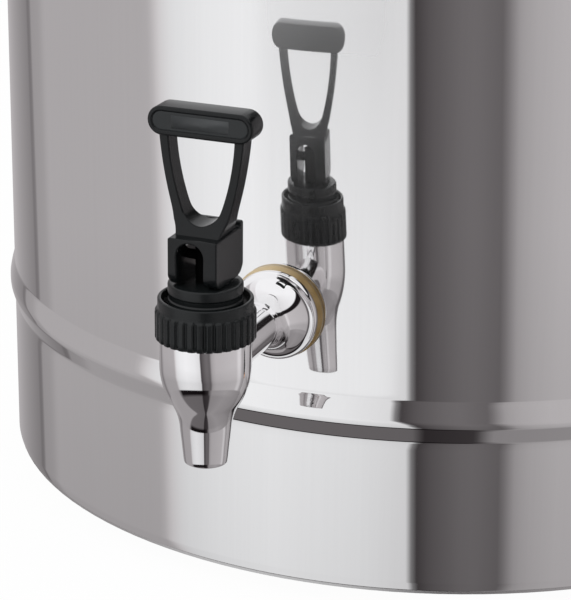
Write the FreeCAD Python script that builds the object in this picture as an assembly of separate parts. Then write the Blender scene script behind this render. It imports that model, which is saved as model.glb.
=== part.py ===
import FreeCAD, Part
import math
import os

# Hot water urn: a single-walled stainless drum with a raised bead, a lift-off lid, two side handles,
# a lever tap at the front and the heater, control and mains entry in the skirt under the tank floor.
# Millimetres. +Z is up and z = 0 is the table. The origin is on the drum's axis and the tap faces -Y.

V = FreeCAD.Vector
UP = V(0, 0, 1)
RIGHT = V(1, 0, 0)
ACROSS = V(0, 1, 0)

# Clearances
seam_gap = 0.05
running_gap = 0.06
loose_gap = 0.3

# Drum
wall_radius = 160.0
wall_thickness = 0.8
wall_height = 375.0
foot_height = 8.0
bead_centre = 60.2
bead_height = 13.9
bead_lower_flank = 5.3
bead_flat = 2.2
bead_proud = 1.5
rim_width = 5.0
rim_depth = 5.0
base_plate_thickness = 1.0
base_plate_inset = 0.4
foot_count = 3
foot_circle = 128.0
foot_radius = 12.0

# Tank floor and the heater under it
floor_thickness = 1.2
floor_above_bead = 2.2
element_ring_radius = 50.0
element_width = 9.0
element_depth = 7.0
element_gap = 24.0
element_flats = 24
element_leg_radius = 3.2
element_leg_length = 17.0
clamp_bar_length = 124.0
clamp_bar_width = 16.0
clamp_bar_thickness = 2.0
stud_radius = 3.0
stud_tail = 4.0
nut_flats = 10.0
nut_height = 5.0
cutout_offset = 28.0
cutout_width = 16.0
cutout_depth = 14.0
cutout_height = 10.0
cutout_ear = 6.0
cutout_ear_thickness = 1.5

# Control on the skirt
control_azimuth = 60.0
skirt_height = 34.0
regulator_width = 38.0
regulator_height = 32.0
regulator_depth = 24.0
bush_radius = 4.5
bush_length = 1.6
shaft_radius = 3.0
shaft_depth = 6.0
shaft_in_knob = 10.0
knob_radius = 19.0
knob_base_height = 6.0
knob_height = 17.0
knob_grip_width = 9.0
knob_draft = 1.5
knob_corner = 3.0

# Pilot lamp
lamp_azimuth = 43.0
lamp_radius = 4.6
lamp_flange_radius = 7.0
lamp_lens_height = 4.2
lamp_lens_bevel = 2.4
lamp_body_length = 22.0

# Mains entry
gland_azimuth = 180.0
gland_bore = 4.2
gland_neck_radius = 8.0
gland_neck_length = 12.0
gland_flats = 22.0
gland_flange_height = 5.0
gland_cap_flats = 19.0
gland_cap_height = 8.0
block_length = 42.0
block_width = 20.0
block_height = 18.0
block_inset = 47.2
block_ways = 3
block_pitch = 12.0
block_well = 6.0
block_well_depth = 5.0

# Side handles
handle_below_lid = 20.3
handle_half_length = 62.0
handle_reach = 40.0
handle_grip = 14.0
handle_depth = 22.0
handle_foot_length = 24.0
handle_outer_bend = 20.0
handle_inner_bend = 9.0
handle_edge = 3.0

# Lid
lid_thickness = 0.8
lid_depth = 14.0
lid_fit = 0.6
lid_knob_radius = 19.0
lid_knob_neck = 10.0
lid_knob_neck_height = 13.0
lid_knob_head_height = 14.0
lid_knob_edge = 3.0

# Tap: heights are from its own datum, where the collar nut meets the chrome body on the valve axis
tap_height = 94.2
valve_reach = 58.3
shank_drop = 11.3
body_radius = 14.0
body_straight = 9.0
shoulder_radius = 10.6
shoulder_depth = 21.0
shoulder_turn = 31.6
spout_radius = 8.0
spout_depth = 28.4
outlet_radius = 6.7
outlet_depth = 40.6
spout_bore = 5.0
seat_depth = 16.5
chamber_radius = 10.5
neck_radius = 12.4
neck_height = 5.0

shank_radius = 7.0
shank_bore = 4.5
dome_start = 42.5
dome_radius = 12.9
dome_length = 10.2
dome_turn = 58.0
flange_radius = 14.8
flange_thickness = 2.6
thread_radius = 8.0
thread_length = 14.0
washer_radius = 15.8
washer_thickness = 3.0
backnut_flats = 24.0
backnut_height = 8.0

# Collar nut and bonnet
collar_radius = 15.3
collar_rim_radius = 14.5
collar_height = 12.9
collar_rib_height = 9.0
collar_rib_count = 32
collar_recess_radius = 13.3
collar_recess_depth = 4.1
collar_lip_thickness = 2.0
bonnet_flange_thickness = 1.7
bonnet_radius = 11.4
bonnet_top = 17.8
spring_pocket_radius = 8.2
spring_pocket_top = 12.0

# Valve stem, seat cup and return spring
stem_radius = 3.0
stem_head_above_pin = 3.0
seat_cup_radius = 8.4
seat_cup_height = 4.5
spring_radius = 6.6
spring_wire = 1.2

# Tap lever: a cam block on the bonnet, a widening loop and a grip bar
lever_width = 15.8
lever_depth = 20.4
lever_height = 15.1
cam_radius = 4.5
ear_thickness = 2.2
ear_height = 1.6
slot_width = 8.6
slot_height = 13.6
pin_height = 7.5
pin_radius = 1.5
pin_socket_depth = 2.0
loop_depth = 6.5
loop_shoulder = 8.5
loop_shoulder_height = 3.8
loop_shoulder_turn = 17.0
loop_top_half = 13.6
loop_leg_turn = 12.0
loop_floor = 2.7
loop_inner_half = 6.2
loop_inner_rise = 4.7
loop_floor_turn = 70.0
loop_inner_top = 10.5
loop_inner_turn = 17.0
bar_half_length = 16.8
bar_height = 8.9
bar_depth = 8.8
bar_level = 48.7
bar_edge = 0.9
insert_margin = 1.4
insert_thickness = 1.2
insert_sunk = 0.35


def face_of(outline, flat_angle=None):
    """Face in the XZ plane. A corner with a third number is reached by an arc that turns by that many degrees,
    to the left where it is positive. With a flat angle, flats of about that turn stand for the arc."""
    edges = []
    last = V(outline[0][0], 0, outline[0][1])
    for corner in outline[1:] + outline[:1]:
        end = V(corner[0], 0, corner[1])
        chord = end - last
        if len(corner) == 3:
            sagitta = chord.Length / 2 * math.tan(math.radians(corner[2] / 4))
            outwards = V(chord.z, 0, -chord.x).normalize()
            arc = Part.Arc(last, (last + end) * 0.5 + outwards * sagitta, end).toShape()
            if flat_angle:
                flats = max(1, round(abs(corner[2]) / flat_angle))
                edges += Part.makePolygon(arc.discretize(flats + 1)).Edges
            else:
                edges.append(arc)
        elif chord.Length > 1e-6:
            edges.append(Part.LineSegment(last, end).toShape())
        last = end
    return Part.Face(Part.Wire(edges))


def lathe(outline, flat_angle=30.0):
    """Solid turned about +Z from an outline of (radius, height) corners. Its round stretches are narrow cones."""
    return face_of(outline, flat_angle).revolve(V(0, 0, 0), UP, 360)


def slab(outline, depth, flat_angle=None):
    """Solid of an outline in XZ, centred on the XZ plane."""
    face = face_of(outline, flat_angle)
    face.translate(V(0, -depth / 2, 0))
    return face.extrude(V(0, depth, 0))


def prism(corners, bottom, top):
    """Upright solid on a ring of (x, y) corners."""
    points = [V(x, y, bottom) for x, y in corners + corners[:1]]
    return Part.Face(Part.makePolygon(points)).extrude(V(0, 0, top - bottom))


def ring_point(radius, degrees):
    return radius * math.cos(math.radians(degrees)), radius * math.sin(math.radians(degrees))


def hexagon(flats, bottom, top):
    return prism([ring_point(flats / math.sqrt(3), 60 * i) for i in range(6)], bottom, top)


def rod(radius, bottom, top, x=0.0, y=0.0):
    return Part.makeCylinder(radius, top - bottom, V(x, y, bottom))


def tube(outer, inner, bottom, top):
    return rod(outer, bottom, top).cut(rod(inner, bottom, top))


def block(width, depth, bottom, top, x=0.0, y=0.0):
    return Part.makeBox(width, depth, top - bottom, V(x - width / 2, y - depth / 2, bottom))


def moved(shape, x, y, z):
    shape = shape.copy()
    shape.translate(V(x, y, z))
    return shape


def turned(shape, angle, axis=UP):
    shape = shape.copy()
    shape.rotate(V(0, 0, 0), axis, angle)
    return shape


def on_wall(shape, azimuth, level):
    """Stands a shape on the drum: its +Z points outwards, its +Y up, its +X to the right of a person facing it.
    The azimuth is counted from the tap."""
    return turned(moved(turned(shape, 90, RIGHT), 0, -wall_radius, level), azimuth)


def stadium(half_length, height, level):
    """Outline of a bar with round ends."""
    low = level - height / 2
    high = level + height / 2
    flat = half_length - height / 2
    return [(-flat, low), (flat, low), (flat, high, 180), (-flat, high), (-flat, low, 180)]


pieces = {}


def piece(name, *solids):
    pieces[name] = list(solids)


# Drum: one sheet with a rolled bead and a flanged rim. The floor is seamed in just above the bead.
wall_inner = wall_radius - wall_thickness
wall_bottom = foot_height
wall_top = wall_bottom + wall_height
rim_outer = wall_inner + rim_width
rim_underside = wall_top - rim_depth
bead_bottom = wall_bottom + bead_centre - bead_height / 2
bead_top = bead_bottom + bead_height
crest_bottom = bead_bottom + bead_lower_flank


def bead(radius):
    """Corners of the bead on one face of the sheet, from bottom to top."""
    crest = radius + bead_proud
    return [(radius, bead_bottom), (crest, crest_bottom), (crest, crest_bottom + bead_flat), (radius, bead_top)]


shell = lathe([(wall_inner, wall_bottom), (wall_radius, wall_bottom), *bead(wall_radius),
               (wall_radius, rim_underside), (rim_outer, rim_underside), (rim_outer, wall_top),
               (wall_inner, wall_top), *reversed(bead(wall_inner))])
tap_level = wall_bottom + tap_height
skirt_level = wall_bottom + skirt_height
through_wall = 10 * wall_thickness
for hole_radius, azimuth, level in ((thread_radius + loose_gap, 0, tap_level),
                                    (bush_radius + loose_gap, control_azimuth, skirt_level),
                                    (lamp_radius + loose_gap, lamp_azimuth, skirt_level),
                                    (gland_neck_radius + loose_gap, gland_azimuth, skirt_level)):
    shell = shell.cut(on_wall(rod(hole_radius, -through_wall, through_wall), azimuth, level))
piece("body_shell", shell)
outside = rod(wall_radius + seam_gap, 0, wall_top)
inside = rod(wall_inner - seam_gap, 0, wall_top)

floor_underside = bead_top + floor_above_bead
piece("tank_floor", rod(wall_inner - seam_gap, floor_underside, floor_underside + floor_thickness))
base_plate_underside = wall_bottom - base_plate_thickness
piece("base_plate", rod(wall_radius - base_plate_inset, base_plate_underside, wall_bottom))
foot = rod(foot_radius, 0, base_plate_underside, 0, -foot_circle)
piece("feet", *[turned(foot, 360 * i / foot_count) for i in range(foot_count)])

# Heater: a broken ring pressed against the floor by a bar on the centre stud.
element_bottom = floor_underside - element_depth
clamp_bottom = element_bottom - clamp_bar_thickness
clamp_nut_bottom = clamp_bottom - nut_height
half_gap = math.degrees(element_gap / 2 / element_ring_radius)
turns = [90 + half_gap + i * (360 - 2 * half_gap) / element_flats for i in range(element_flats + 1)]
outer_side = [ring_point(element_ring_radius + element_width / 2, degrees) for degrees in turns]
inner_side = [ring_point(element_ring_radius - element_width / 2, degrees) for degrees in reversed(turns)]
element = prism(outer_side + inner_side, element_bottom, floor_underside)
leg_lean = math.degrees((element_gap / 2 + element_leg_radius) / element_ring_radius)
for degrees in (90 - leg_lean, 90 + leg_lean):
    leg = rod(element_leg_radius, element_bottom - element_leg_length, element_bottom,
              *ring_point(element_ring_radius, degrees))
    element = element.fuse(leg)
piece("heating_element", element)
stud_hole = rod(stud_radius + running_gap, 0, floor_underside)
piece("element_clamp", block(clamp_bar_length, clamp_bar_width, clamp_bottom, element_bottom).cut(stud_hole))
piece("clamp_stud", rod(stud_radius, clamp_nut_bottom - stud_tail, floor_underside))
piece("clamp_nut", hexagon(nut_flats, clamp_nut_bottom, clamp_bottom).cut(stud_hole))
cutout = block(cutout_width, cutout_depth, floor_underside - cutout_height, floor_underside, 0, cutout_offset)
ears = block(cutout_width + 2 * cutout_ear, cutout_depth / 2, floor_underside - cutout_ear_thickness,
             floor_underside, 0, cutout_offset)
piece("boil_dry_cutout", cutout.fuse(ears).removeSplitter())

# Control: its regulator hangs behind the wall on a bush, and the knob's shaft turns in the bush.
regulator_face = math.sqrt((wall_inner - seam_gap) ** 2 - (regulator_width / 2) ** 2) - wall_radius
regulator = block(regulator_width, regulator_height, regulator_face - regulator_depth, regulator_face)
regulator = regulator.fuse(rod(bush_radius, regulator_face, bush_length))
shaft_end = regulator_face - shaft_depth
regulator = regulator.cut(rod(shaft_radius + running_gap, shaft_end, bush_length))
piece("energy_regulator", on_wall(regulator, control_azimuth, skirt_level))
knob_bottom = bush_length + loose_gap
knob_step = knob_bottom + knob_base_height
knob_top = knob_bottom + knob_height
shaft = rod(shaft_radius, shaft_end + loose_gap, knob_bottom + shaft_in_knob)
piece("regulator_shaft", on_wall(shaft, control_azimuth, skirt_level))
grip_foot = knob_radius - knob_draft
grip_shoulder = grip_foot - knob_draft
grip = slab([(-grip_foot, knob_step), (grip_foot, knob_step), (grip_shoulder, knob_top - knob_corner),
             (grip_shoulder - knob_corner, knob_top, 90), (knob_corner - grip_shoulder, knob_top),
             (-grip_shoulder, knob_top - knob_corner, 90)], knob_grip_width, 30)
knob = rod(knob_radius, knob_bottom, knob_step).fuse(turned(grip, 90)).cut(shaft)
piece("control_knob", on_wall(knob, control_azimuth, skirt_level))

# Pilot lamp
lens = lathe([(0, seam_gap), (lamp_flange_radius, seam_gap), (lamp_flange_radius, lamp_lens_height - lamp_lens_bevel),
              (lamp_flange_radius - lamp_lens_bevel, lamp_lens_height), (0, lamp_lens_height)])
piece("pilot_lamp_lens", on_wall(lens, lamp_azimuth, skirt_level))
piece("pilot_lamp_body", on_wall(rod(lamp_radius, -lamp_body_length, seam_gap), lamp_azimuth, skirt_level))

# Mains entry: a cord gland with its cap nut. The lead itself isn't part of the urn.
cap_top = gland_flange_height + gland_cap_height
gland = rod(gland_neck_radius, -gland_neck_length, seam_gap).fuse(hexagon(gland_flats, seam_gap, gland_flange_height))
gland_hole = rod(gland_bore, -gland_neck_length, cap_top)
piece("cord_gland", on_wall(gland.cut(gland_hole), gland_azimuth, skirt_level))
cap_nut = hexagon(gland_cap_flats, gland_flange_height, cap_top).cut(gland_hole)
piece("gland_cap_nut", on_wall(cap_nut, gland_azimuth, skirt_level))
block_centre_y = wall_inner - block_inset
terminal_block = block(block_length, block_width, wall_bottom, wall_bottom + block_height, 0, block_centre_y)
for i in range(block_ways):
    well_x = block_pitch * (i - (block_ways - 1) / 2)
    terminal_block = terminal_block.cut(block(block_well, block_well, wall_bottom + block_height - block_well_depth,
                                              wall_bottom + block_height, well_x, block_centre_y))
piece("terminal_block", terminal_block)

# Side handles: one-piece moulded loops whose feet are hollowed to the drum.
foot_inner = handle_half_length - handle_foot_length
grip_inner = handle_reach - handle_grip
root = wall_inner - wall_radius - handle_half_length
handle = slab([(-handle_half_length, root), (-foot_inner, root), (-foot_inner, grip_inner - handle_inner_bend),
               (handle_inner_bend - foot_inner, grip_inner, -90), (foot_inner - handle_inner_bend, grip_inner),
               (foot_inner, grip_inner - handle_inner_bend, -90), (foot_inner, root),
               (handle_half_length, root), (handle_half_length, handle_reach - handle_outer_bend),
               (handle_half_length - handle_outer_bend, handle_reach, 90),
               (handle_outer_bend - handle_half_length, handle_reach),
               (-handle_half_length, handle_reach - handle_outer_bend, 90)], handle_depth, 30)
handle_rims = [edge for edge in handle.Edges
               if abs(abs(edge.CenterOfMass.y) - handle_depth / 2) < 0.01 and edge.BoundBox.ZMax > root + 1]
handle = handle.makeChamfer(handle_edge, handle_rims)
lid_seat = wall_top + loose_gap
handle_level = lid_seat - lid_depth - handle_below_lid - handle_depth / 2
for side, azimuth in (("left", -90), ("right", 90)):
    piece(f"side_handle_{side}", on_wall(handle, azimuth, handle_level).cut(outside))

# Lid: one drawn sheet that caps the rim, with a knob at the centre.
lid_inner = rim_outer + lid_fit
lid_outer = lid_inner + lid_thickness
lid_top = lid_seat + lid_thickness
piece("lid", lathe([(0, lid_seat), (lid_inner, lid_seat), (lid_inner, lid_seat - lid_depth),
                    (lid_outer, lid_seat - lid_depth), (lid_outer, lid_top), (0, lid_top)]))
head_bottom = lid_top + lid_knob_neck_height
head_top = head_bottom + lid_knob_head_height
piece("lid_knob", lathe([(0, lid_top), (lid_knob_neck, lid_top), (lid_knob_neck, head_bottom),
                         (lid_knob_radius - lid_knob_edge, head_bottom),
                         (lid_knob_radius, head_bottom + lid_knob_edge),
                         (lid_knob_radius, head_top - lid_knob_edge),
                         (lid_knob_radius - lid_knob_edge, head_top), (0, head_top)]))

# Tap body: the bell, its spout and the shank with the flange are one casting.
datum_level = tap_level + shank_drop
valve_axis = -(wall_radius + valve_reach)


def tap(shape):
    """Puts a shape modelled about the valve axis, from the tap's datum, in its place at the front of the drum."""
    return moved(shape, 0, valve_axis, datum_level)


def shank(shape):
    """Lays a shape turned about +Z along the shank, from the valve axis towards the drum."""
    return moved(turned(shape, -90, RIGHT), 0, 0, -shank_drop)


bell = lathe([
    (0, neck_height), (neck_radius, neck_height), (neck_radius, 0), (body_radius, 0),
    (body_radius, -body_straight), (shoulder_radius, -shoulder_depth, -shoulder_turn),
    (spout_radius, -spout_depth), (outlet_radius, -outlet_depth), (0, -outlet_depth),
], 16)
flange_back = valve_reach - washer_thickness
flange_front = flange_back - flange_thickness
thread_end = valve_reach + thread_length
shank_solid = lathe([
    (0, 0), (shank_radius, 0), (shank_radius, dome_start), (dome_radius, dome_start + dome_length, -dome_turn),
    (dome_radius, flange_front), (flange_radius, flange_front), (flange_radius, flange_back),
    (thread_radius, flange_back), (thread_radius, thread_end), (0, thread_end),
])
tap_body = bell.fuse(shank(shank_solid))
tap_body = tap_body.cut(rod(chamber_radius, -seat_depth, neck_height))
tap_body = tap_body.cut(rod(spout_bore, -outlet_depth, 0))
tap_body = tap_body.cut(shank(rod(shank_bore, 0, thread_end)))
piece("tap_body", tap(tap_body.removeSplitter()))

outer_washer = shank(tube(washer_radius, thread_radius + loose_gap, flange_back, valve_reach + washer_thickness))
piece("tap_washer", tap(outer_washer).cut(outside))
backnut = hexagon(backnut_flats, valve_reach, valve_reach + wall_thickness + backnut_height)
backnut = backnut.cut(rod(thread_radius + seam_gap, valve_reach, thread_end))
piece("tap_backnut", tap(shank(turned(backnut, 30))).common(inside))

# Collar nut and bonnet: the ribs of the nut stand on its lower part.
collar_bore = neck_radius + loose_gap
lip_top = collar_height - collar_recess_depth
lip_bottom = lip_top - collar_lip_thickness
rib_corners = []
for i in range(collar_rib_count):
    for share, radius in ((0.0, collar_radius), (0.45, collar_radius), (0.6, collar_rim_radius),
                          (0.85, collar_rim_radius)):
        rib_corners.append(ring_point(radius, 360 * (i + share) / collar_rib_count))
collar = prism(rib_corners, 0, collar_rib_height).fuse(rod(collar_rim_radius, collar_rib_height, collar_height))
collar = collar.cut(rod(collar_bore, 0, lip_bottom))
collar = collar.cut(rod(bonnet_radius + loose_gap, lip_bottom, lip_top))
piece("collar_nut", tap(collar.cut(rod(collar_recess_radius, lip_top, collar_height))))
bonnet_flange_top = neck_height + bonnet_flange_thickness
guide_radius = stem_radius + running_gap
piece("bonnet", tap(lathe([
    (spring_pocket_radius, neck_height), (neck_radius, neck_height), (neck_radius, bonnet_flange_top),
    (bonnet_radius, bonnet_flange_top), (bonnet_radius, bonnet_top), (guide_radius, bonnet_top),
    (guide_radius, spring_pocket_top), (spring_pocket_radius, spring_pocket_top),
])))

# Valve stem: the lever's cam lifts it, and the seat cup comes off the spout bore.
lever_foot = bonnet_top + loose_gap
pin_level = lever_foot + pin_height
cup_bottom = loose_gap - seat_depth
cup_top = cup_bottom + seat_cup_height
pin_reach = slot_width / 2 + pin_socket_depth
stem = rod(stem_radius, cup_top, pin_level + stem_head_above_pin)
cross_bore = moved(turned(rod(pin_radius, -pin_reach, pin_reach), 90, ACROSS), 0, 0, pin_level)
piece("valve_stem", tap(stem.cut(cross_bore)))
piece("seat_cup", tap(rod(seat_cup_radius, cup_bottom, cup_top)))
pin_half = pin_reach - loose_gap
pin = moved(turned(rod(pin_radius, -pin_half, pin_half), 90, ACROSS), 0, 0, pin_level)
piece("lever_pin", tap(pin))
# The return spring is sealed in the bonnet, so a plain sleeve of its size stands for the winding.
piece("return_spring", tap(tube(spring_radius, spring_radius - spring_wire, cup_top, spring_pocket_top)))

# Lever
half_depth = lever_depth / 2
lever_top = lever_foot + lever_height
ear_top = lever_top + ear_height
cam_block = turned(slab([
    (cam_radius - half_depth, lever_foot), (half_depth - cam_radius, lever_foot),
    (half_depth, lever_foot + cam_radius, 90), (half_depth, ear_top), (half_depth - ear_thickness, ear_top),
    (half_depth - ear_thickness, lever_top), (-half_depth, lever_top),
    (-half_depth, lever_foot + cam_radius), (cam_radius - half_depth, lever_foot, 90),
], lever_width), 90)
bar_centre = lever_foot + bar_level
bar_underside = bar_centre - bar_height / 2
shoulder_level = lever_top + loop_shoulder_height
half_width = lever_width / 2
floor_level = lever_top + loop_floor
loop = slab([
    (-half_width, lever_top), (half_width, lever_top),
    (loop_shoulder, shoulder_level, -loop_shoulder_turn), (loop_top_half, bar_underside + bar_edge, loop_leg_turn),
    (-loop_top_half, bar_underside + bar_edge), (-loop_shoulder, shoulder_level, loop_leg_turn),
    (-half_width, lever_top, -loop_shoulder_turn),
], loop_depth)
inner_level = floor_level + loop_inner_rise
loop_window = slab([
    (0, floor_level), (loop_inner_half, inner_level, loop_floor_turn),
    (loop_inner_top, bar_underside, loop_inner_turn), (-loop_inner_top, bar_underside),
    (-loop_inner_half, inner_level, loop_inner_turn), (0, floor_level, loop_floor_turn),
], 2 * loop_depth)
bar = slab(stadium(bar_half_length, bar_height, bar_centre), bar_depth)
bar_rims = [edge for edge in bar.Edges if abs(abs(edge.CenterOfMass.y) - bar_depth / 2) < 0.01]
bar = bar.makeChamfer(bar_edge, bar_rims)
slot_half = slot_width / 2
slot_arch = lever_foot + slot_height - slot_half
lever_slot = slab([(-slot_half, lever_foot), (slot_half, lever_foot), (slot_half, slot_arch),
                   (-slot_half, slot_arch, 180)], 2 * lever_depth)
pin_sockets = moved(turned(rod(pin_radius + running_gap, -pin_reach, pin_reach), 90, ACROSS), 0, 0, pin_level)
insert_half = bar_half_length - insert_margin
insert_height = bar_height - 2 * insert_margin
insert_front = insert_sunk - bar_depth / 2
pocket = slab(stadium(insert_half, insert_height, bar_centre), 2 * (insert_thickness + insert_sunk))
lever = cam_block.fuse(loop).fuse(bar).cut(loop_window).cut(lever_slot).cut(pin_sockets)
piece("lever", tap(lever.cut(moved(pocket, 0, -bar_depth / 2, 0)).removeSplitter()))
insert = slab(stadium(insert_half - seam_gap, insert_height - 2 * seam_gap, bar_centre), insert_thickness)
piece("grip_insert", tap(moved(insert, 0, insert_front + insert_thickness / 2, 0)))

os.makedirs("parts", exist_ok=True)
for name, solids in pieces.items():
    shape = solids[0] if len(solids) == 1 else Part.makeCompound(solids)
    shape.exportStep(f"parts/{name}.step")
    valid = all(solid.isValid() for solid in shape.Solids)
    print(f"{name:20s} solids {len(shape.Solids)} volume {shape.Volume:10.1f} {'' if valid else 'INVALID'}")
print(len(pieces), "pieces")
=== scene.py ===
# %% [markdown]
# # A hot water urn, dressed for its picture
#
# The urn is a tall drum of polished stainless steel with a black and chrome tap. Its CAD model gives
# every size. This lesson loads that model, lays smooth meshes over the parts that show, gives each one its
# finish, and sets up the studio whose cards and gaps are what polished steel really shows.

# %% Load the CAD model
import math

import bmesh
import bpy
from mathutils import Matrix, Vector


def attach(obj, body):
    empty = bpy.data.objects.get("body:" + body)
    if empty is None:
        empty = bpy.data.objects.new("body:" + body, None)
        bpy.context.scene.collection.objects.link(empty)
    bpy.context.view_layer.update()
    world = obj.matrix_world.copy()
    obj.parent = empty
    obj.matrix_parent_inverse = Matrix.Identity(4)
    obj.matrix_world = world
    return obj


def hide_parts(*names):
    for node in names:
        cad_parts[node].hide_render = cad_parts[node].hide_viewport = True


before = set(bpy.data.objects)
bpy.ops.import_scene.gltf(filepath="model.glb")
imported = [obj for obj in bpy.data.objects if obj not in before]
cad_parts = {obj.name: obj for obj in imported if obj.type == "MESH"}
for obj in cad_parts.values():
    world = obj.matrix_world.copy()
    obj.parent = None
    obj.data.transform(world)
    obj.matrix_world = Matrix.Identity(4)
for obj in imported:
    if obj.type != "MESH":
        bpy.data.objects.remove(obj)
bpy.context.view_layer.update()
mm = 0.001

# %% [markdown]
# ## Sizes
#
# Each smooth mesh has to sit exactly where its CAD part sits, so both are drawn from the same sizes. They
# are in millimetres here, and turn into metres when a mesh is made. The tap is drawn about its own valve
# axis, counted up from the joint between the chrome body and the collar nut.

# %% The sizes that the pieces share
wall_radius = 160.0
wall_thickness = 0.8
wall_bottom = 8.0
wall_top = 383.0
bead_bottom = 61.25
bead_top = 75.15
bead_proud = 1.7
skirt_level = 42.0
handle_level = 338.0
tap_datum = 113.5
valve_axis = -218.3
shank_drop = 11.3
print("drum", 2 * wall_radius, "mm across and", wall_top - wall_bottom, "mm tall")

# %% [markdown]
# ## Drawing outlines
#
# Most of the urn is turned on a lathe or pressed from sheet, so its meshes start from outlines. Two small
# helpers draw them: one lays an arc between two corners, the other rounds the corners of a run of straight
# lines, as a press tool or a mould does.


# %% Arcs and rounded corners
def arc(start, end, turn, steps=8):
    """Points after start on an arc to end that turns by so many degrees, to the left where positive."""
    (x0, y0), (x1, y1) = start, end
    half = math.radians(turn) / 2
    chord = math.hypot(x1 - x0, y1 - y0)
    offset = chord / 2 / math.tan(half)
    centre_x = (x0 + x1) / 2 - (y1 - y0) / chord * offset
    centre_y = (y0 + y1) / 2 + (x1 - x0) / chord * offset
    radius = math.hypot(x0 - centre_x, y0 - centre_y)
    first = math.atan2(y0 - centre_y, x0 - centre_x)
    return [(centre_x + radius * math.cos(first + 2 * half * i / steps),
             centre_y + radius * math.sin(first + 2 * half * i / steps)) for i in range(1, steps + 1)]


def rounded(corners, closed=False, steps=5):
    """Outline through corners of (x, y) or (x, y, radius). A corner with a radius is rounded by it."""
    points = []
    count = len(corners)
    for i, corner in enumerate(corners):
        here = Vector(corner[:2])
        ends = not closed and i in (0, count - 1)
        if ends or len(corner) == 2:
            points.append(tuple(here))
            continue
        before = Vector(corners[i - 1][:2]) - here
        after = Vector(corners[(i + 1) % count][:2]) - here
        angle = before.angle(after)
        reach = min(corner[2] / math.tan(angle / 2), before.length * 0.49, after.length * 0.49)
        first = here + before.normalized() * reach
        last = here + after.normalized() * reach
        turn = math.degrees(math.pi - angle)
        if before.x * after.y - before.y * after.x > 0:
            turn = -turn
        points.append(tuple(first))
        points += arc(tuple(first), tuple(last), turn, steps)
    return points


square = rounded([(0, 0, 1), (9, 0, 1), (9, 9, 1), (0, 9, 1)], closed=True)
print("a square with rounded corners has", len(square), "points")

# %% [markdown]
# ## Turning and lofting
#
# A lathe outline becomes rings of vertices joined by quads, which shade as one smooth surface. Moulded
# pieces are lofted through equal loops of points, so that their ends and recesses are loops too. No moulded
# or pressed edge is perfectly sharp, and each catches a line of light, so the loops or a bevel modifier
# break every edge. Weighted normals keep the flat sides next to a narrow rounding flat.


# %% Mesh builders
def new_piece(name, points, faces, finish, body, bevel=0.0, flat_sides=False):
    mesh = bpy.data.meshes.new(name)
    mesh.from_pydata([Vector(p) * mm for p in points], [], faces)
    work = bmesh.new()
    work.from_mesh(mesh)
    bmesh.ops.remove_doubles(work, verts=work.verts, dist=1e-7)
    bmesh.ops.recalc_face_normals(work, faces=work.faces)
    work.to_mesh(mesh)
    work.free()
    mesh.materials.append(finish)
    for polygon in mesh.polygons:
        polygon.use_smooth = True
    piece = bpy.data.objects.new(name, mesh)
    bpy.context.collection.objects.link(piece)
    if bevel:
        edge = piece.modifiers.new("edge", "BEVEL")
        edge.width = bevel * mm
        edge.segments = 4
        edge.limit_method = "ANGLE"
        edge.angle_limit = math.radians(28)
    if bevel or flat_sides:
        piece.modifiers.new("shade", "WEIGHTED_NORMAL").keep_sharp = False
    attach(piece, body)
    print(name, "has", len(mesh.polygons), "faces and rides on", body)
    return piece


def turned(outline, steps=96, place=None):
    """Rings of points and quads of an outline of (radius, height) turned about +Z."""
    points = []
    faces = []
    for radius, height in outline:
        for i in range(steps):
            angle = 2 * math.pi * i / steps
            points.append(Vector((radius * math.cos(angle), radius * math.sin(angle), height)))
    for ring in range(len(outline) - 1):
        low, high = ring * steps, (ring + 1) * steps
        for i in range(steps):
            j = (i + 1) % steps
            faces.append((low + i, low + j, high + j, high + i))
    if outline[0][0] > 1e-6 and outline[-1][0] > 1e-6 and outline[0] != outline[-1]:
        last = (len(outline) - 1) * steps
        faces += [(last + i, last + (i + 1) % steps, (i + 1) % steps, i) for i in range(steps)]
    if place:
        points = [place @ p for p in points]
    return points, faces


def lofted(loops, place=None, capped=True):
    """Quads between equal closed loops of points, with the first and the last filled."""
    count = len(loops[0])
    points = [Vector(p) for loop in loops for p in loop]
    faces = []
    for level in range(len(loops) - 1):
        low, high = level * count, (level + 1) * count
        for i in range(count):
            j = (i + 1) % count
            faces.append((low + i, low + j, high + j, high + i))
    if capped:
        faces.append(tuple(reversed(range(count))))
        faces.append(tuple(range((len(loops) - 1) * count, len(loops) * count)))
    if place:
        points = [place @ p for p in points]
    return points, faces


def joined(*parts):
    points = []
    faces = []
    for some_points, some_faces in parts:
        base = len(points)
        points += some_points
        faces += [tuple(base + i for i in face) for face in some_faces]
    return points, faces


# %% Places on the drum and on the tap
def on_wall(azimuth, level):
    """Places a shape that stands on +Z so that it stands out of the drum, its +Y up."""
    return (Matrix.Rotation(math.radians(azimuth), 4, "Z") @ Matrix.Translation((0, -wall_radius, level))
            @ Matrix.Rotation(math.radians(90), 4, "X"))


at_tap = Matrix.Translation((0, valve_axis, tap_datum))
along_shank = at_tap @ Matrix.Translation((0, 0, -shank_drop)) @ Matrix.Rotation(math.radians(-90), 4, "X")
print("the tap's datum is at", [round(v, 1) for v in at_tap.translation])

# %% [markdown]
# ## Writing finishes as sums
#
# A finish is a small network of nodes, and most of its nodes only add and multiply. A class that wraps one
# socket and knows the signs + - * / lets the network be read as a formula. Everything else comes from one
# method that adds a node by its type.


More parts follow.
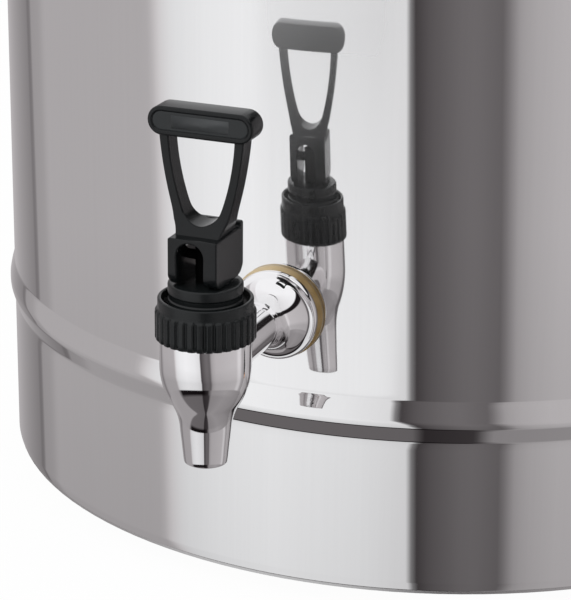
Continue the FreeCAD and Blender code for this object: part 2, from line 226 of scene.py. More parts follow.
# %% A socket that can be used in sums
class Wire:
    def __init__(self, nodes, socket):
        self.nodes = nodes
        self.socket = socket

    def sum(self, operation, first, second):
        return self.nodes.add("ShaderNodeMath", {"operation": operation}, {0: first, 1: second})

    def __add__(self, other):
        return self.sum("ADD", self, other)

    def __radd__(self, other):
        return self.sum("ADD", other, self)

    def __sub__(self, other):
        return self.sum("SUBTRACT", self, other)

    def __rsub__(self, other):
        return self.sum("SUBTRACT", other, self)

    def __mul__(self, other):
        return self.sum("MULTIPLY", self, other)

    def __rmul__(self, other):
        return self.sum("MULTIPLY", other, self)

    def __truediv__(self, other):
        return self.sum("DIVIDE", self, other)


# %% A network of nodes
class Nodes:
    def __init__(self, holder):
        holder.use_nodes = True
        self.name = holder.name
        self.tree = holder.node_tree
        self.tree.nodes.clear()

    def add(self, kind, settings=None, inputs=None, output=0):
        node = self.tree.nodes.new(kind)
        for name, value in (settings or {}).items():
            if name == "stops":
                ramp = node.color_ramp.elements
                while len(ramp) < len(value):
                    ramp.new(0.5)
                for element, (spot, tone) in zip(ramp, value):
                    element.position = spot
                    element.color = (*tone, 1)
            else:
                setattr(node, name, value)
        for name, value in (inputs or {}).items():
            if isinstance(value, Wire):
                self.tree.links.new(value.socket, node.inputs[name])
            else:
                node.inputs[name].default_value = value
        return Wire(self, node.outputs[output]) if len(node.outputs) else None

    def place(self):
        """Position on the piece, in metres."""
        return self.add("ShaderNodeTexCoord", output="Object")

    def axes(self, vector):
        split = self.add("ShaderNodeSeparateXYZ", {}, {0: vector})
        return [Wire(self, split.socket.node.outputs[i]) for i in range(3)]

    def rays(self, *kinds):
        """Whether the ray that looks is of each of these kinds."""
        path = self.add("ShaderNodeLightPath")
        return [Wire(self, path.socket.node.outputs[kind]) for kind in kinds]

    def speckle(self, scale, detail=3.0, stretch=(1, 1, 1)):
        spread = self.add("ShaderNodeMapping", {}, {"Vector": self.place(), "Scale": stretch})
        return self.add("ShaderNodeTexNoise", {}, {"Vector": spread, "Scale": scale, "Detail": detail})

    def between(self, factor, low, high):
        """A number that runs from low to high with the factor."""
        return factor * (high - low) + low

    def fading(self, value, start, end, low=0.0, high=1.0, curve="LINEAR"):
        """A number that goes from low to high as the value goes from start to end, and then stays."""
        return self.add("ShaderNodeMapRange", {"clamp": True, "interpolation_type": curve},
                        {0: value, 1: start, 2: end, 3: low, 4: high})

    def colours(self, factor, first, second):
        mix = self.add("ShaderNodeMix", {"data_type": "RGBA"}, {0: factor}, output=2)
        node = mix.socket.node
        for i, value in ((6, first), (7, second)):
            if isinstance(value, Wire):
                self.tree.links.new(value.socket, node.inputs[i])
            else:
                node.inputs[i].default_value = (*value, 1)
        return mix

    def bumped(self, height, strength, distance):
        return self.add("ShaderNodeBump", {}, {
            "Height": height, "Strength": strength, "Distance": distance})

    def mixed(self, factor, first, second):
        return self.add("ShaderNodeMixShader", {}, {0: factor, 1: first, 2: second})

    def shader(self, fixed, varied):
        return self.add("ShaderNodeBsdfPrincipled", {}, {**fixed, **varied})

    def output(self, shader, kind="ShaderNodeOutputMaterial"):
        self.add(kind, {}, {"Surface": shader})
        print(self.name, "has", len(self.tree.nodes), "nodes")

    def finish(self, fixed, varied):
        self.output(self.shader(fixed, varied))


def new_finish(name):
    material = bpy.data.materials.new(name)
    return material, Nodes(material)


# %% [markdown]
# ## Polished steel
#
# The drum is drawn sheet, polished until it mirrors the tap, yet the mirror isn't perfect: rolling and
# polishing leave faint upright streaks, and a hand's wipe leaves it a touch duller in patches. The streaks
# are noise stretched along the drum's height, and they only nudge the roughness and the colour.
#
# In the picture the mirrored tap leans, and it is longer than a true cylinder would show it. The sheet is
# probably drawn in a little where the tap's nut pulls on it. Here the wall stays a cylinder, and a small
# turn of the normal inside a soft window gives the same mirror. Higher up in that window the polish is
# hazier, so the mirrored handle is paler than the mirrored spout.

# %% Where the steel behind the tap mirrors it
steel, nodes = new_finish("polished_steel")
across, depth, level = nodes.axes(nodes.place())
mirrored_tap_side = 0.0139
window_top = 0.245
window_foot = 0.0755
mirrored_bar_level = 0.198
mirrored_spout_level = 0.084

aside = across - mirrored_tap_side
off_centre = nodes.add("ShaderNodeMath", {"operation": "ABSOLUTE"}, {0: aside})
window = (nodes.fading(off_centre, 0.028, 0.016, curve="SMOOTHSTEP")
          * nodes.fading(depth, -0.135, -0.150, curve="SMOOTHSTEP")
          * nodes.fading(level, window_top, window_top - 0.03, curve="SMOOTHSTEP")
          * nodes.fading(level, window_foot, window_foot + 0.0025, curve="SMOOTHSTEP"))
drop = nodes.fading(level, mirrored_bar_level, mirrored_spout_level)
steeper = drop * drop * drop
sideways = drop * -0.045 - steeper * 0.04 - aside * 3.2 + 0.042
upwards = steeper * 0.091 + 0.011

# %% Steel of the drum and the lid
streaks = nodes.speckle(900, 2.0, (1, 1, 0.012))
patches = nodes.speckle(9, 3.0, (1, 1, 0.5))
turn = nodes.add("ShaderNodeCombineXYZ", {}, {0: sideways * window, 2: upwards * window})
true_normal = nodes.add("ShaderNodeNewGeometry", output="Normal")
tipped = nodes.add("ShaderNodeVectorMath", {"operation": "ADD"}, {0: true_normal, 1: turn})
polish = nodes.shader({"Metallic": 1.0}, {
    "Base Color": nodes.colours(streaks, (0.875, 0.875, 0.875), (0.9, 0.9, 0.9)),
    "Roughness": nodes.between(streaks * 0.5 + patches * 0.5, 0.012, 0.045),
    "Normal": nodes.add("ShaderNodeVectorMath", {"operation": "NORMALIZE"}, {0: tipped})})
haze = nodes.shader({"Metallic": 1.0, "Roughness": 0.5}, {
    "Base Color": nodes.colours(patches, (0.93, 0.93, 0.93), (0.98, 0.98, 0.98))})
upper = 1.0 - drop
nodes.output(nodes.mixed(window * upper * upper * 0.28, polish, haze))

# %% Steel inside the tank and of the base
inner_steel, nodes = new_finish("satin_steel")
grain = nodes.speckle(700, 3.0, (1, 0.04, 1))
nodes.finish({"Metallic": 1.0},
             {"Base Color": nodes.colours(grain, (0.62, 0.62, 0.62), (0.74, 0.735, 0.73)),
              "Roughness": nodes.between(grain, 0.26, 0.4)})

# %% [markdown]
# ## Chrome and black plastic
#
# The tap's body is bright chrome over brass, almost a perfect mirror. The collar, bonnet, lever and handles
# are moulded in black plastic with a polished mould: dark charcoal, a clear shine, and a very fine ripple
# that keeps long highlights from looking like glass. The handles are a little duller than the tap.

# %% Chrome
chrome, nodes = new_finish("chrome")
wipe = nodes.speckle(160, 3.0)
nodes.finish({"Metallic": 1.0},
             {"Base Color": nodes.colours(wipe, (0.9, 0.892, 0.9), (0.94, 0.935, 0.94)),
              "Roughness": nodes.between(wipe, 0.025, 0.06)})


# %% Black plastic, from glossy to dull
def black_plastic(name, low, high, roughness, ripple, shine=0.4):
    material, nodes = new_finish(name)
    cloud = nodes.speckle(120, 4.0)
    skin = nodes.speckle(2600, 2.0)
    nodes.finish({"Specular IOR Level": shine},
                 {"Base Color": nodes.colours(cloud, low, high),
                  "Roughness": nodes.between(cloud, roughness, roughness + 0.1),
                  "Normal": nodes.bumped(skin, ripple, 0.00004)})
    return material


lever_black = black_plastic("lever_black", (0.003, 0.0035, 0.004), (0.007, 0.008, 0.0085), 0.12, 0.3, 0.28)
collar_black = black_plastic("collar_black", (0.005, 0.006, 0.0065), (0.010, 0.0115, 0.012), 0.2, 0.4, 0.32)
panel_black = black_plastic("panel_black", (0.010, 0.012, 0.013), (0.016, 0.018, 0.019), 0.3, 0.3)
window_black = black_plastic("window_black", (0.034, 0.037, 0.039), (0.042, 0.045, 0.047), 0.3, 0.2)
handle_black = black_plastic("handle_black", (0.008, 0.0085, 0.009), (0.014, 0.015, 0.0155), 0.24, 0.5)
# Painted shade: the valve stem and lever pin are near-black with no shine, so the slot in the cam block
# reads as shade.
slot_painted_shade = black_plastic("slot_painted_shade", (0.002, 0.002, 0.002), (0.004, 0.004, 0.004), 0.6, 0.2, 0.0)

# %% [markdown]
# ## Rubber, amber and the small finishes
#
# The feet are black rubber, the lamp is clear amber, and the hidden fittings are plain steel, brass and
# moulded cases. The washer behind the tap is tan rubber with painted light across its face, pale at the
# upper left and a painted gold-brown shade to the lower right, so its colour follows its place as well as a
# cloudy noise.


# %% The small finishes
def plain(name, low, high, roughness, scale=300, metallic=0.0, ripple=0.0):
    material, nodes = new_finish(name)
    cloud = nodes.speckle(scale, 4.0)
    varied = {"Base Color": nodes.colours(cloud, low, high),
              "Roughness": nodes.between(cloud, roughness, roughness + 0.12)}
    if ripple:
        varied["Normal"] = nodes.bumped(nodes.speckle(scale * 4), ripple, 0.00008)
    nodes.finish({"Metallic": metallic}, varied)
    return material


foot_rubber = plain("foot_rubber", (0.018, 0.018, 0.018), (0.034, 0.034, 0.034), 0.6, 500, ripple=0.6)
seat_rubber = plain("seat_rubber", (0.5, 0.47, 0.42), (0.62, 0.58, 0.52), 0.5)
case_plastic = plain("case_plastic", (0.62, 0.58, 0.5), (0.7, 0.66, 0.58), 0.45, 200, ripple=0.3)
fitting_steel = plain("fitting_steel", (0.5, 0.5, 0.5), (0.62, 0.62, 0.62), 0.28, 400, metallic=1.0)
element_steel = plain("element_steel", (0.16, 0.145, 0.13), (0.3, 0.28, 0.26), 0.4, 120, metallic=1.0)
brass = plain("brass", (0.55, 0.4, 0.16), (0.68, 0.52, 0.24), 0.25, metallic=1.0)
pointer_white = plain("pointer_white", (0.75, 0.75, 0.73), (0.82, 0.82, 0.8), 0.4)

# %% Tan rubber
washer_level = 0.102
tan_rubber, nodes = new_finish("tan_rubber")
cloud = nodes.speckle(180, 4.0)
across, _, level = nodes.axes(nodes.place())
# Painted light and shade: the washer is paler at its upper left and darker gold-brown towards its lower
# right.
painted_shade_to_lower_right = nodes.fading(across - (level - washer_level) * 0.7, -0.017, 0.001, curve="SMOOTHSTEP")
tan = nodes.colours(painted_shade_to_lower_right * 0.7 + cloud * 0.3, (0.62, 0.49, 0.3), (0.13, 0.07, 0.005))
nodes.finish({}, {"Base Color": tan, "Roughness": nodes.between(cloud, 0.3, 0.42),
                  "Normal": nodes.bumped(nodes.speckle(360), 0.4, 0.00008)})

# %% Amber
amber, nodes = new_finish("amber_lens")
ribs = nodes.add("ShaderNodeTexWave", {"wave_type": "RINGS"}, {"Vector": nodes.place(), "Scale": 700.0})
nodes.finish({"Transmission Weight": 0.35, "Coat Weight": 0.6},
             {"Base Color": nodes.colours(ribs, (0.75, 0.24, 0.02), (0.9, 0.38, 0.05)),
              "Roughness": nodes.between(ribs, 0.12, 0.22)})

# %% [markdown]
# ## The drum
#
# One sheet makes the wall. Near the foot it has a rolled bead that stiffens it and holds the tank's floor,
# and at the top its edge is turned out into a rim. The outline runs up the outside and down the inside. The
# bead has a straight flank below, a narrow crest, and a longer flank above that bends a little.

# %% Drum
bead_flank = 5.3
bead_crest = 7.5
rim_fold = 5.0


def bead(radius):
    """The bead's side of the sheet from bottom to top."""
    crest = radius + bead_proud
    lower_flank = rounded([(radius, bead_bottom - 3), (radius, bead_bottom, 4),
                           (crest, bead_bottom + bead_flank, 4), (crest, bead_bottom + bead_flank + 1.2)])
    crest_end = bead_bottom + bead_crest
    upper_flank = [(crest, crest_end - 0.1)] + arc((crest, crest_end), (radius, bead_top), 12, 10)
    return lower_flank + upper_flank + [(radius, bead_top + 0.5), (radius, bead_top + 3)]


wall_inner = wall_radius - wall_thickness
rim_outer = wall_inner + rim_fold
outer_foot = rounded([(wall_inner, wall_bottom), (wall_radius, wall_bottom, 0.7),
                      (wall_radius, wall_bottom + 3)])
rim = rounded([(wall_radius, wall_top - 12), (wall_radius, wall_top - rim_fold, 0.6),
               (rim_outer, wall_top - rim_fold, 2.3), (rim_outer, wall_top, 2.4),
               (wall_inner, wall_top, 2.2), (wall_inner, wall_top - 12)])
drum_outline = outer_foot + bead(wall_radius) + rim
drum_outline += list(reversed(bead(wall_inner))) + [(wall_inner, wall_bottom)]
drum = new_piece("drum", *turned(drum_outline, 288), steel, "urn")
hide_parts("body_shell")

# %% [markdown]
# ## The lid and its knob
#
# The lid is a shallow drawn cap. Pressing leaves a soft shoulder and a low crown, and a ring pressed near
# the edge keeps the flat sheet from drumming. The knob flares like a mushroom so that fingers get under it.

# %% Lid
lid_sheet = 0.8
lid_skirt = 14.0
lid_seat = wall_top + 0.3
lid_inner = rim_outer + 0.6
lid_outer = lid_inner + lid_sheet
lid_top = lid_seat + lid_sheet
lid_hem = lid_seat - lid_skirt
lid_outline = rounded([
    (0.0, lid_top + 0.9), (60.0, lid_top + 0.75, 60), (128.0, lid_top + 0.05, 20), (134.0, lid_top, 4),
    (137.0, lid_top + 1.0, 3), (141.0, lid_top + 1.0, 3), (144.0, lid_top, 3), (lid_outer, lid_top, 2.6),
    (lid_outer, lid_hem + 0.6, 0.3), (lid_outer + 0.5, lid_hem, 0.3), (lid_inner + 0.1, lid_hem, 0.2),
    (lid_inner, lid_hem + 1.0), (lid_inner, lid_seat, 1.8), (0.0, lid_seat + 0.02)])
lid = new_piece("lid_cap", *turned(lid_outline, 256), steel, "lid")
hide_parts("lid")

# %% Knob of the lid
knob_foot = lid_top + 0.85
lid_knob_outline = rounded([
    (0.0, knob_foot), (10.6, knob_foot, 0.6), (9.4, knob_foot + 4, 5), (9.6, knob_foot + 8.5, 5),
    (18.2, lid_top + 16.8, 4), (19.0, lid_top + 19, 2), (18.8, lid_top + 22, 3), (14.5, lid_top + 26.3, 6),
    (0.0, lid_top + 27.0)])
lid_knob = new_piece("lid_grip", *turned(lid_knob_outline, 72), handle_black, "lid")
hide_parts("lid_knob")

# %% [markdown]
# ## Side handles
#
# Each side handle is a moulded loop with a soft rectangular section. It is swept: the section follows a
# path that leaves the wall, turns, runs along for the fingers and turns back. The two ends are cut to the
# drum's curve, so that they sit tight on the wall.

# %% Side handles
handle_half = 50.0
handle_reach = 33.0
handle_turn = 13.0
grip_half_wide = 7.0
root_half_wide = 12.0
handle_half_high = 11.0
handle_rounding = 3.4


def handle_section(half_wide):
    corners = [(-half_wide, -handle_half_high), (half_wide, -handle_half_high),
               (half_wide, handle_half_high), (-half_wide, handle_half_high)]
    return rounded([(*corner, handle_rounding) for corner in corners], True, 4)


def handle_path():
    """The middle line of a handle, from one end in the wall to the other, as (along, out)."""
    bar_half = handle_half - handle_turn
    leg = handle_reach - handle_turn
    path = [(handle_half, out) for out in (-8.0, 0.0, 6.0, 12.0, leg)]
    path += arc((handle_half, leg), (bar_half, handle_reach), 90, 8)
    path += [(bar_half * (1 - i / 4), handle_reach) for i in range(1, 9)]
    path += arc((-bar_half, handle_reach), (-handle_half, leg), 90, 8)
    return path + [(-handle_half, out) for out in (12.0, 6.0, 0.0, -8.0)]


def side_handle(name, azimuth, node):
    path = handle_path()
    loops = []
    for i, (x, y) in enumerate(path):
        before = Vector(path[max(i - 1, 0)])
        after = Vector(path[min(i + 1, len(path) - 1)])
        along = (after - before).normalized()
        across = Vector((along.y, -along.x))
        slimming = min(1.0, max(0.0, (y - 2.0) / 22.0))
        loop = []
        for u, v in handle_section(root_half_wide + (grip_half_wide - root_half_wide) * slimming):
            px = x + across.x * u
            py = y + across.y * u
            if i in (0, len(path) - 1):
                py = math.sqrt((wall_radius + 0.02) ** 2 - px ** 2) - wall_radius
            loop.append((px, v, py))
        loops.append(loop)
    piece = new_piece(name, *lofted(loops, on_wall(azimuth, handle_level)), handle_black, "urn")
    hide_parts(node)


side_handle("handle_left", -90, "side_handle_left")
side_handle("handle_right", 90, "side_handle_right")

# %% [markdown]
# ## The tap's chrome body
#
# The body is one casting. The bell hangs on the valve's axis and narrows in an S to the spout, and the
# shank runs back into a trumpet-shaped dome with a flange. Both are turned about their own axis, with
# enough rings for clean reflections, since chrome shows every kink.

# %% Chrome body
bell_radius = 14.0
spout_bore = 5.0
spout_end = -40.6
shank_radius = 7.0
flange_front = 52.7
flange_back = 55.3

bell_outline = [(0.0, 4.9), (12.3, 4.9), (12.3, 0.0)]
bell_outline += rounded([(12.6, 0.0), (bell_radius, 0.0, 0.5), (bell_radius, -9.0)], steps=4)
bell_outline += arc((bell_radius, -9.0), (10.6, -21.0), -31.6, 16)
bell_outline += arc((10.6, -21.0), (8.0, -28.4), 24.6, 10)
bell_outline += [(7.75, -31.0), (7.4, -34.0), (7.1, -37.0)]
bell_outline += rounded([(6.9, -39.0), (6.7, spout_end, 0.4), (spout_bore, spout_end, 0.5),
                         (spout_bore, -39.0)], steps=4)
bell_outline += [(spout_bore, -25.0), (0.0, -25.0)]
shank_outline = [(0.0, 0.0), (shank_radius, 0.0)] + [(shank_radius, 6.0 * i) for i in range(1, 8)]
shank_outline += arc((shank_radius, 42.5), (12.9, flange_front), -58.0, 16)
shank_outline += rounded([(12.9, flange_front), (14.8, flange_front, 0.7), (14.8, flange_back, 0.5),
                          (9.0, flange_back)], steps=4)[1:]
shank_outline += [(8.0, flange_back), (8.0, 72.3), (4.5, 72.3), (4.5, 60.0), (0.0, 60.0)]
chrome_mesh = joined(turned(bell_outline, 128, at_tap), turned(shank_outline, 128, along_shank))
tap_chrome = new_piece("tap_chrome", *chrome_mesh, chrome, "urn")
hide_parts("tap_body")

# %% Washer behind the flange
washer_front = flange_back + 0.05
washer_outline = rounded([(9.0, washer_front), (14.6, washer_front, 0.6), (15.5, 57.0, 1.5), (15.3, 58.95),
                          (9.0, 58.95)])
washer = new_piece("wall_washer", *turned(washer_outline, 96, along_shank), tan_rubber, "urn")
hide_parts("tap_washer")

# %% [markdown]
# ## Collar nut and bonnet
#
# The collar nut is gripped by upright ribs that stop short of its smooth upper band. Narrow grooves are
# sunk into the lathe's radius at equal turns, which leaves broad ribs. The bonnet rises through the nut.

# %% Collar nut
rib_count = 32
rib_depth = 0.85
ribs_end = 9.3
groove_share = 0.2


def groove_of_nut(angle, height):
    """How far the surface sinks in a groove between two ribs."""
    if height > ribs_end:
        return 0.0
    turn = (angle * rib_count / (2 * math.pi)) % 1.0
    near = min(turn, 1 - turn)
    groove = math.sqrt(max(0.0, 1.0 - (near / groove_share) ** 2))
    fade = min(1.0, (ribs_end - height) / 0.7)
    return rib_depth * groove * fade


ribbed_outline = [(15.0, 0.0), (15.3, 0.35), (15.3, 2.0), (15.3, 5.0), (15.3, 7.6), (15.3, 8.3),
                  (15.15, 8.8), (14.75, 9.25), (14.5, 9.6)]
collar_outline = ribbed_outline + rounded([(14.5, 10.0), (14.5, 12.9, 0.9), (13.3, 12.9, 0.4), (13.3, 8.8),
                                           (11.7, 8.8)])
collar_outline += [(11.7, 6.8), (12.7, 6.8), (12.7, 0.0)]
collar_steps = rib_count * 12
collar_points, collar_faces = turned(collar_outline, collar_steps, at_tap)
for row, (radius, height) in enumerate(ribbed_outline):
    for i in range(collar_steps):
        angle = 2 * math.pi * i / collar_steps
        sunk = radius - groove_of_nut(angle, height)
        point = Vector((sunk * math.cos(angle), sunk * math.sin(angle), height))
        collar_points[row * collar_steps + i] = at_tap @ point
collar = new_piece("collar", collar_points, collar_faces, collar_black, "urn")
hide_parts("collar_nut")

# %% Bonnet
bonnet_radius = 11.4
bonnet_top = 17.8
stem_clearance = 3.06
bonnet_outline = [(8.2, 5.0), (12.4, 5.0), (12.4, 6.7), (bonnet_radius, 6.7)]
bonnet_outline += rounded([
    (bonnet_radius, 8.0), (bonnet_radius, 12.4, 0.3), (11.0, 12.8, 0.3), (11.0, 14.2, 0.3),
    (bonnet_radius, 14.6, 0.3), (bonnet_radius, bonnet_top, 0.9), (stem_clearance, bonnet_top, 0.3),
    (stem_clearance, 12.0), (8.2, 12.0)], steps=4)
bonnet = new_piece("bonnet_cap", *turned(bonnet_outline, 96, at_tap), collar_black, "urn")
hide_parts("bonnet")

# %% [markdown]
# ## The lever
#
# The lever is one moulding with three forms. The block at its foot is a cam: its lower edges are rounded,
# and when it tilts they roll on the bonnet and lift the stem. It is lofted from front to back through a
# U-shaped outline, whose feet follow the cam's curve. At both ends the outline is drawn in step by step,
# which rounds the edges all round. The loop is a band between two outlines, and the bar is a stadium whose
# front steps in to a sunk panel.

# %% Outlines of the cam block
block_half = 7.9
block_depth = 20.4
block_top = 33.2
block_rounding = 0.7
foot_level = 18.1
cam = 4.5
edge_round = 0.5
slot_half = 4.3
slot_aside = 0.8
arch_level = foot_level + 13.9 - slot_half
back_lip = 8.0


def drawn_in(outline, amount):
    """A closed outline, drawn the way round that keeps its inside on the left, moved inwards."""
    moved = []
    for i, point in enumerate(outline):
        here = Vector(point)
        first = (here - Vector(outline[i - 1])).normalized()
        last = (Vector(outline[(i + 1) % len(outline)]) - here).normalized()
        inwards = Vector((-first.y - last.y, first.x + last.x)).normalized()
        moved.append(here + inwards * amount / max(0.3, inwards.dot(Vector((-first.y, first.x)))))
    return moved


def block_loop(y, amount=0.0):
    over = max(0.0, abs(y) - (block_depth / 2 - cam))
    foot = foot_level + cam - math.sqrt(max(cam ** 2 - over ** 2, 0.0))
    top = block_top + 1.6 * math.sqrt(min(1.0, max(0.0, (y - back_lip) / 0.25)))
    left, right = -slot_half - slot_aside, slot_half - slot_aside
    outline = rounded([
        (right, foot), (block_half, foot, block_rounding), (block_half, top, block_rounding),
        (-block_half, top, block_rounding), (-block_half, foot, block_rounding), (left, foot),
        (left, arch_level)])
    outline += arc((left, arch_level), (right, arch_level), -180, 24)
    return [(x, y, z) for x, z in drawn_in(outline, amount)]


print("a loop of the block has", len(block_loop(0.0)), "points")

# %% Cam block
block_loops = [block_loop(y) for y in (-9.3, -8.7, -8.0, -7.2, -5.7, 0.0, 5.7, 7.2, back_lip,
                                       back_lip + 0.06, back_lip + 0.25, 8.7, 9.3)]
for i in reversed(range(6)):
    angle = math.radians(18 * i)
    end = block_depth / 2 - edge_round * (1 - math.cos(angle))
    amount = edge_round * (1 - math.sin(angle))
    block_loops = [block_loop(-end, amount)] + block_loops + [block_loop(end, amount)]
cam_block = new_piece("cam_block", *lofted(block_loops, at_tap), lever_black, "tap_lever", flat_sides=True)
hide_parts("lever")

# %% Loop of the lever
loop_foot = 32.6
loop_half_depth = 3.25
flare_start = 42
flare = 3.4


def loop_sides(points_right):
    """A closed loop from the points of its right half, from the bottom centre to the top centre."""
    left = [(-x, z) for x, z in reversed(points_right)]
    return points_right + left[1:-1]


def ring_at(ring, side):
    """The ring on the front (-1) or back (1) of the loop, which deepens where it grows out of the block."""
    return [(x, side * (loop_half_depth + flare * max(0.0, (flare_start - z) / 9.4) ** 2), z)
            for x, z in ring]


outer_right = [(0.0, loop_foot), (4.0, loop_foot), (7.0, loop_foot)]
outer_right += arc((7.0, loop_foot), (8.5, 37.0), -17, 6)
outer_right += arc((8.5, 37.0), (13.6, 63.5), 12, 14) + [(9.0, 63.5), (4.5, 63.5), (0.0, 63.5)]
inner_right = [(0.0, 35.9)] + arc((0.0, 35.9), (6.2, 40.6), 70, 8) + arc((6.2, 40.6), (10.5, 62.6), 17, 14)
inner_right += [(7.0, 62.6), (3.5, 62.6), (0.0, 62.6)]
print("loop points", len(outer_right), len(inner_right))
outer_ring = loop_sides(outer_right)
inner_ring = loop_sides(inner_right)
loop_band = [ring_at(outer_ring, -1), ring_at(inner_ring, -1), ring_at(inner_ring, 1),
             ring_at(outer_ring, 1), ring_at(outer_ring, -1)]
loop_mesh = lofted(loop_band, at_tap, capped=False)
lever_loop = new_piece("lever_loop", *loop_mesh, lever_black, "tap_lever", bevel=0.8)
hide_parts("lever")

# %% Grip bar
bar_level = 66.8
bar_half = 16.8
bar_height = 8.9
bar_front = -4.4
bar_back = 4.4
panel_sunk = 0.3


def stadium(shrink, y):
    """The bar's outline at the depth y, drawn in all round."""
    radius = bar_height / 2 - shrink
    flat = bar_half - bar_height / 2
    ring = []
    for side, start in ((1, -90), (-1, 90)):
        for i in range(15):
            angle = math.radians(start + 180 * i / 14)
            ring.append((side * flat + radius * math.cos(angle), y, bar_level + radius * math.sin(angle)))
    return ring


bar_loops = [stadium(1.45, bar_front + panel_sunk + 0.05), stadium(1.4, bar_front + panel_sunk),
             stadium(1.2, bar_front + 0.02), stadium(1.05, bar_front), stadium(0.75, bar_front)]
for i in range(6):
    angle = math.radians(90 * i / 5)
    bar_loops.append(stadium(0.7 - 0.7 * math.sin(angle), bar_front + 0.7 - 0.7 * math.cos(angle)))
for i in range(6):
    angle = math.radians(90 * i / 5)
    bar_loops.append(stadium(1.0 - 1.0 * math.cos(angle), bar_back - 1.0 + 1.0 * math.sin(angle)))
grip_bar = new_piece("grip_bar", *lofted(bar_loops, at_tap), lever_black, "tap_lever")
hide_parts("lever")

# %% Sunk panel of the grip bar
panel_front = bar_front + panel_sunk
panel_loops = [stadium(1.55, panel_front + 1.0), stadium(1.55, panel_front + 0.1),
               stadium(1.65, panel_front), stadium(2.1, panel_front)]
grip_panel = new_piece("grip_panel", *lofted(panel_loops, at_tap), panel_black, "tap_lever")
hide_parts("grip_insert")

pane_half = 9.2
pane_half_high = 2.0
pane_ring = rounded([(x, bar_level + z, 0.3) for x, z in (
    (-pane_half, -pane_half_high), (pane_half, -pane_half_high), (pane_half, pane_half_high),
    (-pane_half, pane_half_high))], True, 3)
pane_loops = [[(x, panel_front + y, z) for x, z in pane_ring] for y in (0.2, -0.03)]
grip_window = new_piece("grip_window", *lofted(pane_loops, at_tap), window_black, "tap_lever")

# %% [markdown]
# ## Control, lamp and mains entry
#
# The control knob has a round skirt and a raised grip with a white line that points at the setting. The
# lamp beside it is a small amber dome, and at the back the cord gland's two hexagons wait for a lead.

# %% Control knob
knob_place = on_wall(60, skirt_level)
skirt_outline = rounded([(0.0, 1.9), (18.4, 1.9, 0.4), (19.0, 2.6, 0.4), (18.6, 7.0, 0.8), (17.6, 7.9, 0.8),
                         (0.0, 7.9)])
grip_ring = rounded([(-4.5, -17.3, 2.0), (4.5, -17.3, 2.0), (4.5, 17.3, 2.0), (-4.5, 17.3, 2.0)], True)
grip_loops = []
for height, share, narrow in ((7.0, 1.0, 0.0), (12.0, 0.97, 0.15), (15.5, 0.94, 0.35), (17.6, 0.9, 0.7),
                              (18.6, 0.86, 1.2), (18.9, 0.8, 1.9)):
    grip_loops.append([(x * (1 - narrow / 4.5), y * share, height) for x, y in grip_ring])
knob_mesh = joined(turned(skirt_outline, 96, knob_place), lofted(grip_loops, knob_place))
control = new_piece("control_grip", *knob_mesh, handle_black, "control_knob")
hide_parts("control_knob")
pointer_ring = rounded([(-0.5, 9.0, 0.3), (0.5, 9.0, 0.3), (0.5, 13.0, 0.3), (-0.5, 13.0, 0.3)], True, 3)
pointer_loops = [[(x, y, height) for x, y in pointer_ring] for height in (18.0, 18.96)]
pointer = new_piece("control_pointer", *lofted(pointer_loops, knob_place), pointer_white, "control_knob")

# %% Lamp
lamp_place = on_wall(43, skirt_level)
lens_outline = rounded([(0.0, 0.05), (7.0, 0.05, 0.3), (7.0, 1.8, 0.4), (5.2, 2.2, 0.4), (4.6, 3.6, 1.2),
                        (2.5, 4.2, 1.5), (0.0, 4.2)], steps=6)
lens = new_piece("lamp_lens", *turned(lens_outline, 64, lamp_place), amber, "urn")
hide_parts("pilot_lamp_lens")


# %% Cord gland
def hexagon_ring(flats, height, shrink=0.0):
    radius = flats / math.sqrt(3) - shrink
    turns = [math.radians(60 * i) for i in range(6)]
    corners = [(radius * math.cos(turn), radius * math.sin(turn), 0.6) for turn in turns]
    return [(x, y, height) for x, y in rounded(corners, True, 3)]


def circle_ring(radius, height):
    count = len(hexagon_ring(22, 0))
    turns = [2 * math.pi * (i + 0.5) / count - math.radians(8) for i in range(count)]
    return [(radius * math.cos(turn), radius * math.sin(turn), height) for turn in turns]


gland_place = on_wall(180, skirt_level)
cord_bore = 4.2
body_loops = [circle_ring(cord_bore, -12.0), circle_ring(8.0, -12.0), circle_ring(8.0, 0.0),
              hexagon_ring(22, 0.05, 0.6), hexagon_ring(22, 0.5), hexagon_ring(22, 4.5),
              hexagon_ring(22, 5.0, 0.6), circle_ring(cord_bore, 5.0)]
gland_body = new_piece("gland_body", *lofted(body_loops, gland_place, capped=False), handle_black, "urn")
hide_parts("cord_gland")
cap_loops = [circle_ring(cord_bore, 5.0), hexagon_ring(19, 5.0, 0.5), hexagon_ring(19, 5.4),
             hexagon_ring(19, 9.5), circle_ring(8.6, 10.4), circle_ring(7.4, 12.2), circle_ring(6.4, 13.0),
             circle_ring(cord_bore, 13.0), circle_ring(cord_bore, 5.0)]
gland_cap = new_piece("gland_cap", *lofted(cap_loops, gland_place, capped=False), handle_black, "urn")
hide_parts("gland_cap_nut")

# %% Feet
foot_ring = 128
foot_outline = rounded([(0.0, 0.6), (4.0, 0.6, 0.5), (4.4, 0.0, 0.3), (10.6, 0.0, 1.0), (12.0, 7.0),
                        (0.0, 7.0)])
foot_parts = []
for i in range(3):
    foot_place = Matrix.Rotation(math.radians(120 * i), 4, "Z") @ Matrix.Translation((0, -foot_ring, 0))
    foot_parts.append(turned(foot_outline, 48, foot_place))
feet = new_piece("foot_pads", *joined(*foot_parts), foot_rubber, "urn")
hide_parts("feet")
